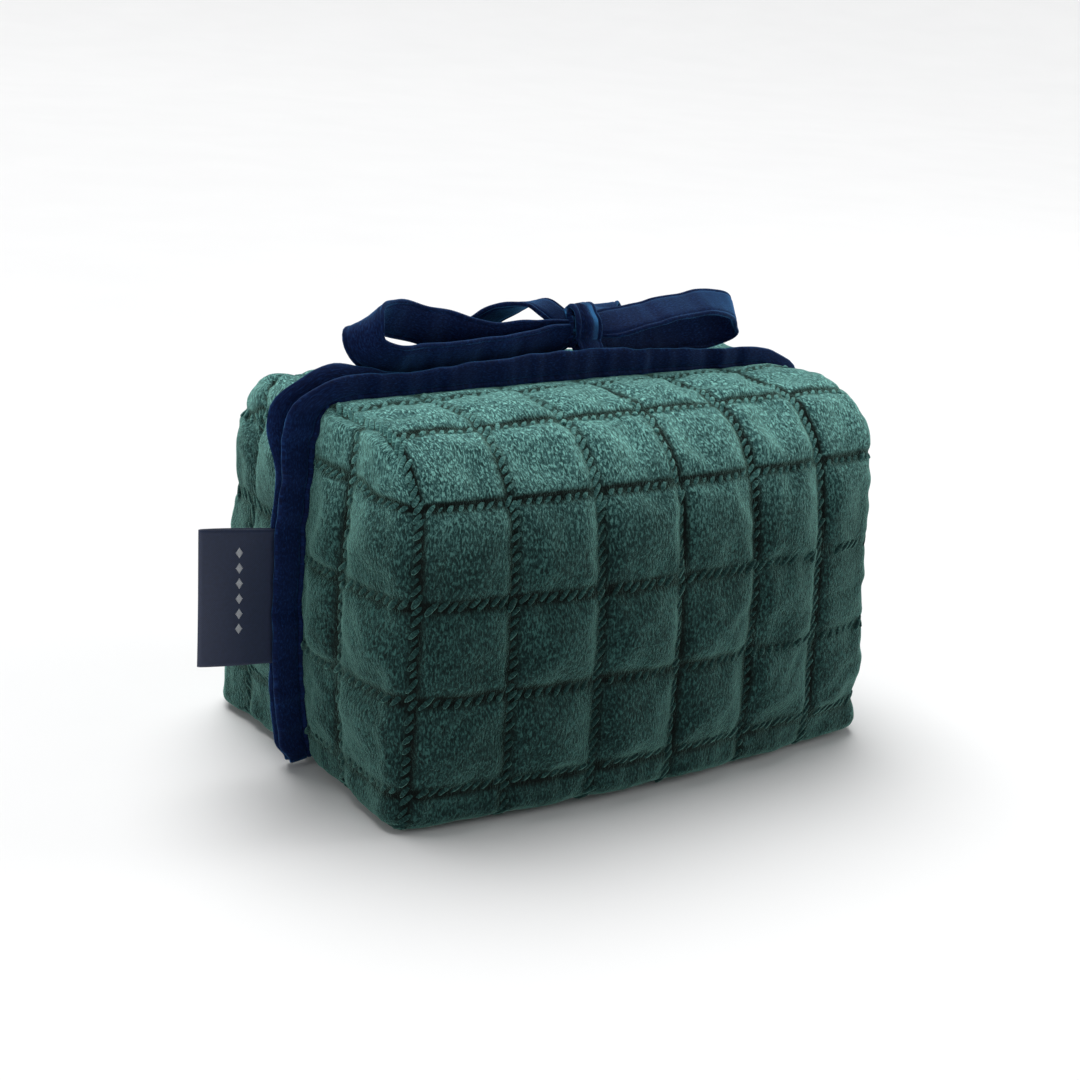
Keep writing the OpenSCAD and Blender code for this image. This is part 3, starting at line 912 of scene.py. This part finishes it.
def make_binding(name, front, top_h, crest, seed, corner_lift):
    """A folded velvet strip that stands out round the mouth, plump at its fold and stitched at its foot."""
    base = mouth_path(300)
    n, m = len(base), len(BINDING_SECTION)
    out = unit(np.stack([np.gradient(base[:, 2]), np.zeros(n), -np.gradient(base[:, 0])], -1))
    centre = np.array([0, 0, BODY_H / 2])
    out *= np.sign(((base - centre) * out).sum(1))[:, None]
    on_top = ramp(np.abs(out[:, 2]), 0.25, 0.9) * (out[:, 2] > 0)
    run = np.linspace(0, length_of(base), n)
    width = BINDING_SIDE_W + (top_h - BINDING_SIDE_W) * on_top
    width += crest * hump(base[:, 0] / HALF_W) ** 3 * on_top
    near_side = 1 - ramp(np.abs(HALF_W - np.abs(base[:, 0])), 4, 34)
    left_corner = ramp(base[:, 2], BODY_H - 26, BODY_H - 6) * near_side * (base[:, 0] < 0)
    width += corner_lift * left_corner
    width += 0.35 * waves(run[:, None], 38, seed) + 0.18 * waves(run[:, None], 12, seed + 1)
    foot = ramp(base[:, 2], BINDING_END_Z, BINDING_END_Z + 7)
    width = np.where(base[:, 2] < BODY_H / 2, width * (0.72 + 0.28 * foot), width)
    rim = FRONT_RIM if front else 0.0
    lean = 0.5 * waves(run[:, None], 55, seed + 2)
    puff = 1 + 0.22 * waves(run[:, None], 17, seed + 3) + 0.12 * waves(run[:, None], 7, seed + 4)
    places = np.zeros((n, m, 3))
    cloth = np.zeros((n, m, 3))
    for j, (reach, depth) in enumerate(BINDING_SECTION):
        far = reach * (width if reach > 0 else np.full(n, BINDING_LIP))
        d = rim + depth * BINDING_T * (puff if depth > 0.5 else np.ones(n))
        d = np.maximum(d + np.clip(lean, 0, 1) * reach * (0 if front else 0.6), rim + 0.02)
        if not front:
            d = d + corner_lift * 0.9 * left_corner * max(reach, 0)
        places[:, j] = base + out * far[:, None]
        places[:, j, 1] = d
        cloth[:, j, 0] = reach * BINDING_SIDE_W + depth * 3
        cloth[:, j, 1] = run
    faces = tube_faces(n, m)
    return mesh_piece(name, to_half(places, front), faces if front else turned(faces), NAVY, cloth)


# ------------------------ bow
# Each row is a place on the middle line of the ribbon, and the way across its width
LEFT_LOOP = [
    (8, 7.4, 132.2, 0, -0.2, 1), (1, 8.0, 130.8, 0, -0.2, 1), (-8, 9.0, 129.4, 0, -0.2, 1),
    (-18, 10.5, 129.0, 0, -0.2, 1), (-28.3, 12, 130.2, 0, -0.2, 1), (-38.1, 13, 133, 0, -0.2, 1),
    (-51, 13, 136.4, 0.1, -0.25, 0.97), (-60, 12, 138.8, 0.25, -0.4, 0.88),
    (-67.5, 9, 139.6, 0.5, -0.5, 0.7), (-72, 6, 137.4, 0.7, -0.55, 0.45),
    (-73, 4.4, 133.5, 0.78, -0.56, 0.25), (-70, 4.2, 129.4, 0.72, -0.55, 0.42),
    (-63, 4.3, 126.9, 0.4, -0.55, 0.72), (-51, 4.6, 126.3, 0.1, -0.5, 0.85),
    (-32.5, 5.2, 126.3, 0, -0.45, 0.88),
    (-12, 5.8, 127.2, 0, -0.35, 0.93), (4, 6.4, 130.2, 0, -0.25, 0.97), (8, 6.8, 131.8, 0, -0.2, 1),
]
RIGHT_LOOP = [
    (11, 6.2, 133.2, 0, 0.4, 0.9), (15.6, 5.6, 133.6, 0, 0.6, 0.75), (27, 4.2, 134.9, 0, 0.85, 0.45),
    (42.1, 3.2, 137.8, 0, 0.9, 0.38), (58.6, 3.2, 139.3, 0, 0.88, 0.42), (69, 4.4, 137.8, 0.05, 0.75, 0.6),
    (75.5, 7.4, 133.8, 0.1, 0.5, 0.85), (74.5, 10.4, 130.2, 0.08, 0.3, 0.95),
    (67.1, 11.8, 128.2, 0, 0.35, 0.93),
    (50.6, 12.3, 127.0, 0, 0.4, 0.9), (33.2, 11.4, 127.4, 0, 0.35, 0.92), (20, 9.2, 130.2, 0, 0.3, 0.95),
    (11, 7.4, 132.6, 0, 0.3, 0.95),
]


def laid_on(rows, shell, gap, start):
    """The rows of a ribbon, with those from start on moved down to rest gap above a shell."""
    tree = BVHTree.FromObject(shell, bpy.context.evaluated_depsgraph_get())
    rows = np.array(rows, float)
    tangent = unit(np.gradient(rows[:, :3], axis=0))
    for k in range(start, len(rows)):
        spot, _, _, _ = tree.find_nearest(Vector(rows[k, :3] * MM))
        spot = np.array(spot) / MM
        way = unit(rows[k, :3] - spot)
        rows[k, :3] = spot + way * gap
        rows[k, 3:] = unit(np.cross(tangent[k], way))
    return rows


def tail_points(sign, turn_deg=48.0):
    """A tail that arches out of the knot, comes down on the back half and falls over its far edge.
    Returned with the number of its first place past the arch."""
    turn = math.radians(turn_deg)
    rise = [(1.0, 0.5), (3.2, 3.2), (5.6, 5.4), (8.8, 6.0), (13.0, 4.2), (17.0, 0.6), (22.0, -6.0)]
    if sign > 0:
        rise = [(y, min(z, 2.8)) for y, z in rise]
    line = [(KNOT[1] + y, KNOT[2] + z) for y, z in rise]
    reach = TOP_R + 8
    for a in np.radians((82, 66, 50, 34, 20, 8)):
        line.append((HALF_D - TOP_R + reach * math.cos(a), BODY_H - TOP_R + reach * math.sin(a)))
    line = np.array(line)
    run = run_along(line)
    tangent = unit(np.gradient(line, axis=0))
    lean = -sign * math.sin(turn)
    rows = []
    for (y, z), s, (ty, tz) in zip(line, run, tangent):
        aside = 3.6 + s * math.tan(turn) * (1 - 0.25 * s / run[-1])
        rows.append((KNOT[0] + sign * aside, y, z, math.cos(turn), lean * ty, lean * tz))
    return rows, len(rise)


def make_knot():
    """The wrap of ribbon round the middle of the bow, with its creases, over a plump core."""
    outline = tube_outline(10.4, 2.3, seam=1.6)
    turns = np.linspace(0, 2 * math.pi, 73)
    ry, rz = 5.3, 6.3
    path = np.stack([
        KNOT[0] + 0.5 * np.sin(turns * 2),
        KNOT[1] + ry * np.cos(turns),
        KNOT[2] + 0.2 + rz * np.sin(turns) - 0.5 * np.cos(turns) ** 2,
    ], -1)
    across = np.stack([np.ones_like(turns), 0.12 * np.sin(turns), 0.10 * np.cos(turns)], -1)
    wide = 1 - 0.10 * np.abs(np.sin(turns)) + 0.03 * np.sin(5 * turns)
    thick = 1 + 0.2 * np.sin(3 * turns) + 0.14 * np.sin(7 * turns + 1)
    band = sweep("knot_wrap", path, across, outline, NAVY, wide, thick, closed_ends=False)
    core_spots = [(-4.9, 0.2, 0.3), (-2.5, 0.1, 0.1), (0, 0, 0), (2.5, 0.1, 0.1), (4.9, 0.1, 0.2)]
    core_path = smooth_path(KNOT + core_spots, 40)
    core_across = np.tile((0.0, 0.35, 1.0), (len(core_path), 1))
    squeeze = 0.62 + 0.38 * np.abs(np.linspace(-1, 1, len(core_path))) ** 1.5
    core_outline = tube_outline(11.5, 7.0, seam=2.4)
    core = sweep("knot_core", core_path, core_across, core_outline, NAVY, squeeze, squeeze)
    return band, core


def make_tie(name, front):
    """The sewn root of a ribbon: it comes out of a binding's fold and goes up into the knot."""
    if front:
        points = [(-1.3, 118.6), (-1.4, 123.0), (-1.2, 126.0), (0.6, 128.8), (4.4, 131.2)]
    else:
        points = [(1.2, 118.6), (1.25, 122.5), (2.0, 125.0), (4.2, 126.8), (6.2, 128.6)]
    rows = [(KNOT[0], y, z, 1, 0, 0) for y, z in points]
    path = smooth_path(rows, 30)
    return sweep(name, path[:, :3], path[:, 3:], tube_outline(9.2, 0.95, seam=1.2), NAVY)


# ------------------------ label, seam tape and stitches
def make_label():
    """The folded label: two layers of tape joined at the outer fold, with a plain row of lozenges."""
    low, high = box_of("label")
    root, tip = high.x + 3.2, low.x
    y_mid = (low.y + high.y) / 2
    n_s, n_z = 44, 36
    reach = np.linspace(0, 1, n_s + 1)
    heights = np.linspace(low.z, high.z, n_z + 1)
    rows = []
    for layer in (-1, 1):
        for s in reach if layer < 0 else reach[::-1][1:]:
            gap = 0.5 * math.sqrt(max(0.0, 1 - s**8)) * (0.8 + 0.5 * math.sin(math.pi * s))
            rows.append((root + (tip - root) * s, layer * gap, s))
    rows = np.array(rows)
    out = rows[:, 2:3]
    grid_z = heights[None, :] + out * 2.6 - 1.2
    up = (grid_z - low.z) / (high.z - low.z)
    bend = 0.9 * np.sin(math.pi * out * 0.9) * np.sin(math.pi * up * 1.1 + 0.4)
    grid_x = np.broadcast_to(rows[:, :1], grid_z.shape)
    places = np.stack([grid_x, y_mid + rows[:, 1:2] - bend * out, grid_z], -1)
    cloth = np.stack([grid_x, grid_z, np.zeros_like(grid_z)], -1)
    piece = mesh_piece("label_tape", places, sheet_faces(*grid_z.shape), LABEL, cloth)
    thicken(piece, 0.32)
    middle = round(0.5 * n_s)
    marks = []
    for sense, i, inner in ((-1, middle, 1), (1, len(rows) - 1 - middle, -1)):
        for k in range(6):
            j = round((0.27 + 0.11 * k) * n_z)
            along = unit(places[i, j + 1] - places[i, j])
            over = unit(inner * (places[i + 1, j] - places[i, j]))
            marks.append((places[i, j], along, over, sense))
    return piece, make_lozenges("label_motif", marks)


def ring_turns():
    return [k * 2 * math.pi / STITCH_SIDES for k in range(STITCH_SIDES)]


def make_lozenges(name, marks):
    """Small embroidered lozenges, each of nine raised stitches."""
    ends = (-1, -0.6, 0.6, 1)
    stitch = tube_faces(len(ends), STITCH_SIDES)
    places, faces = [], []
    for centre, along, over, sense in marks:
        normal = np.array([0.0, sense, 0.0])
        for k in range(-4, 5):
            half = (1 - abs(k) / 4.6) * 1.5
            middle = centre + along * (k * 0.36) + normal * 0.12
            faces += shifted(stitch, len(places))
            for end in ends:
                r = 0.19 if abs(end) < 1 else 0.06
                for turn in ring_turns():
                    rise = normal * (r * 1.1 * math.sin(turn) + 0.08)
                    places.append(middle + over * (half * end) + along * (r * math.cos(turn)) + rise)
    places = np.array(places)
    return mesh_piece(name, places, faces, THREAD, places[:, [0, 2, 1]] * (1, 1, 0))


def make_seam_tape():
    """The bound seam allowance that stands up along the bottom inside the back half."""
    low, high = box_of("base_seam_tape")
    xs = np.linspace(low.x, high.x, 120)
    ys = (low.y + high.y) / 2 + 0.12 * waves(xs[:, None], 20, 5) + 0.15
    path = np.stack([xs, ys, np.full_like(xs, (low.z + high.z) / 2)], -1)
    across = np.tile((0.0, 0.0, 1.0), (len(xs), 1))
    outline = tube_outline(high.z - low.z, high.y - low.y - 0.3, seam=1.4)
    return sweep("seam_tape", path, across, outline, NAVY)


def make_stitches():
    """Running stitches along the seam tape."""
    low, high = box_of("base_seam_stitches")
    pitch, length = 5.0, 3.2
    y, z = low.y - 0.05, (low.z + high.z) / 2
    ts = np.linspace(0, 1, 7)
    stitch = turned(tube_faces(len(ts), STITCH_SIDES))
    places, faces = [], []
    for k in range(int((high.x - low.x) / pitch) + 1):
        faces += shifted(stitch, len(places))
        for t in ts:
            x = low.x + k * pitch + t * length
            lift = 0.42 * math.sin(math.pi * t) ** 0.6
            places += [(x, y + lift + 0.2 * math.cos(a), z + 0.22 * math.sin(a)) for a in ring_turns()]
    places = np.array(places)
    return mesh_piece("seam_stitches", places, faces, NAVY_THREAD, places[:, [2, 0, 1]])


def make_hinge_web():
    """A narrow strip under the bottom seam that joins the two halves."""
    xs = np.linspace(-HALF_W + WEB_IN, HALF_W - WEB_IN, 60)
    ys = np.linspace(-WEB_REACH, WEB_REACH, 21)
    places = np.array([(x, y, 0.75) for x in xs for y in ys])
    piece = mesh_piece("bottom_seam_web", places, sheet_faces(len(xs), len(ys)), NAVY, places)
    thicken(piece, 0.5)
    return piece


# ------------------------ stage, light and camera
def make_stage():
    """A plain pale floor that rises gently on all sides far away."""
    look = Look("pale_floor")
    grain = look.noise(look.node("ShaderNodeNewGeometry", {}).outputs["Position"], 9.0, 4.0)
    tones = look.colours(grain, ((0.0, (0.80, 0.80, 0.80)), (1.0, (0.84, 0.84, 0.84))))
    material = look.surface({"Base Color": tones, "Roughness": 0.9})
    flat, bend, slope, far = 2500, 6000, math.radians(15), 16000
    line = [(1, 0.0), (600, 0.0), (flat, 0.0)]
    line += [(flat + bend * math.sin(a), bend * (1 - math.cos(a))) for a in np.linspace(0.04, slope, 8)]
    line += [(line[-1][0] + far * math.cos(slope), line[-1][1] + far * math.sin(slope))]
    m, sides = len(line), 72
    places, faces = [], []
    for k in range(sides):
        turn = 2 * math.pi * k / sides
        places += [(r * math.cos(turn), r * math.sin(turn), z - 0.05) for r, z in line]
        n = (k + 1) % sides
        faces += [(k * m + j, k * m + j + 1, n * m + j + 1, n * m + j) for j in range(m - 1)]
    faces.append(tuple(k * m for k in range(sides)))
    floor = mesh_piece("floor", places, faces, material)


CAMERA_AZ, CAMERA_EL, CAMERA_ROLL = -36.3, 17.6, 4.1
CAMERA_DISTANCE = 642.0
LOOK_AT = np.array([0.0, 0.0, 58.35])
LENS_MM, SENSOR_MM = 64.07, 36.0
# As shares of the frame's width
SHIFT = (-0.011574, 0.011481)


def make_camera():
    a, e, r = (math.radians(t) for t in (CAMERA_AZ, CAMERA_EL, CAMERA_ROLL))
    back = np.array([math.sin(a) * math.cos(e), -math.cos(a) * math.cos(e), math.sin(e)])
    right = unit(np.cross(-back, (0, 0, 1)))
    up = np.cross(right, -back)
    axis_x = math.cos(r) * right + math.sin(r) * up
    axis_y = -math.sin(r) * right + math.cos(r) * up
    data = bpy.data.cameras.new("camera")
    data.lens = LENS_MM
    data.sensor_width = SENSOR_MM
    data.shift_x, data.shift_y = SHIFT
    data.clip_start = 0.02
    camera = add_object("camera", data)
    place = (LOOK_AT + back * CAMERA_DISTANCE) * MM
    columns = np.stack([axis_x, axis_y, back, place], axis=1)
    camera.matrix_world = Matrix([*columns.tolist(), (0, 0, 0, 1)])
    bpy.context.scene.camera = camera


def make_light(name, place, aim, size, power):
    data = bpy.data.lights.new(name, "AREA")
    data.shape = "DISK"
    data.size = size
    data.energy = power
    light = add_object(name, data)
    light.location = place
    light.rotation_euler = (Vector(aim) - Vector(place)).to_track_quat("-Z", "Y").to_euler()


def make_lights():
    """A broad soft sun from above and behind, as in the photo, and a weak pale sky."""
    data = bpy.data.lights.new("overhead", "SUN")
    data.energy = 3.3
    data.angle = math.radians(50)
    sun = add_object("overhead", data)
    sun.rotation_euler = Vector((-0.10, -0.42, -1.0)).to_track_quat("-Z", "Y").to_euler()
    make_light("side_fill", (-1.5, -0.1, 0.6), (0, 0, 0.06), 1.0, 3.5)
    make_light("grazing_fill", (1.5, -0.45, 0.45), (0, -0.05, 0.06), 0.6, 7)
    bpy.context.scene.view_settings.view_transform = "Standard"
    world = bpy.data.worlds.new("studio")
    bpy.context.scene.world = world
    world.use_nodes = True
    sky = world.node_tree.nodes["Background"].inputs
    sky["Color"].default_value = (0.95, 0.97, 1.0, 1)
    sky["Strength"].default_value = 0.16


# ------------------------ build
make_camera()
make_stage()
make_lights()

shells = {}
for half_name, is_front in (("back", False), ("front", True)):
    body = half_name + "_half"
    shell, ribs = make_shell(half_name + "_quilt", is_front)
    shells[half_name] = shell
    belongs(shell, body, "green_velvet", half_name + "_shell")
    belongs(ribs, body, "green_velvet")
    padding = make_layer(half_name + "_padding", is_front, PADDING_IN, 1.5, WADDING, 21, 0.15, False)
    belongs(padding, body, "wadding", half_name + "_wadding")
    lining = make_layer(half_name + "_lining_cloth", is_front, LINING_IN, LINING_T, LINING, 31, 0.35, True)
    belongs(lining, body, "lining", half_name + "_lining")
    top_height, crest, lift = (6.4, 3.4, 1.8) if is_front else (6.0, 0.4, 4.2)
    binding = make_binding(half_name + "_binding_strip", is_front, top_height, crest, 61 + is_front, lift)
    belongs(binding, body, "navy_velvet", half_name + "_binding")
    tie = make_tie(half_name + "_tie_root", is_front)
    belongs(tie, body, "navy_velvet", half_name + "_tie")

for side, sign, shape in (("left", -1, LEFT_LOOP), ("right", 1, RIGHT_LOOP)):
    loop, loop_l = ribbon(side + "_loop_ribbon", shape, 150, 71 + sign, both_ends=True, width=LOOP_W)
    belongs(loop, "bow_" + side, "navy_velvet", side + "_loop")
    rows, first_laid = tail_points(sign)
    rows = laid_on(rows, shells["back"], RIBBON_T / 2 + 0.8, first_laid)
    tail, tail_l = ribbon(side + "_tail_ribbon", rows, 90, 81 + sign)
    belongs(tail, "bow_" + side, "navy_velvet", side + "_tail")

wrap, core = make_knot()
belongs(wrap, "back_half", "navy_velvet", "bow_knot")
belongs(core, "back_half", "navy_velvet")

label, motif = make_label()
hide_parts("label")
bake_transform(label)
belongs(motif, "label_flap", "label_weave")

belongs(make_seam_tape(), "back_half", "navy_velvet", "base_seam_tape")
belongs(make_stitches(), "back_half", "thread", "base_seam_stitches")
web = make_hinge_web()
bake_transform(web)
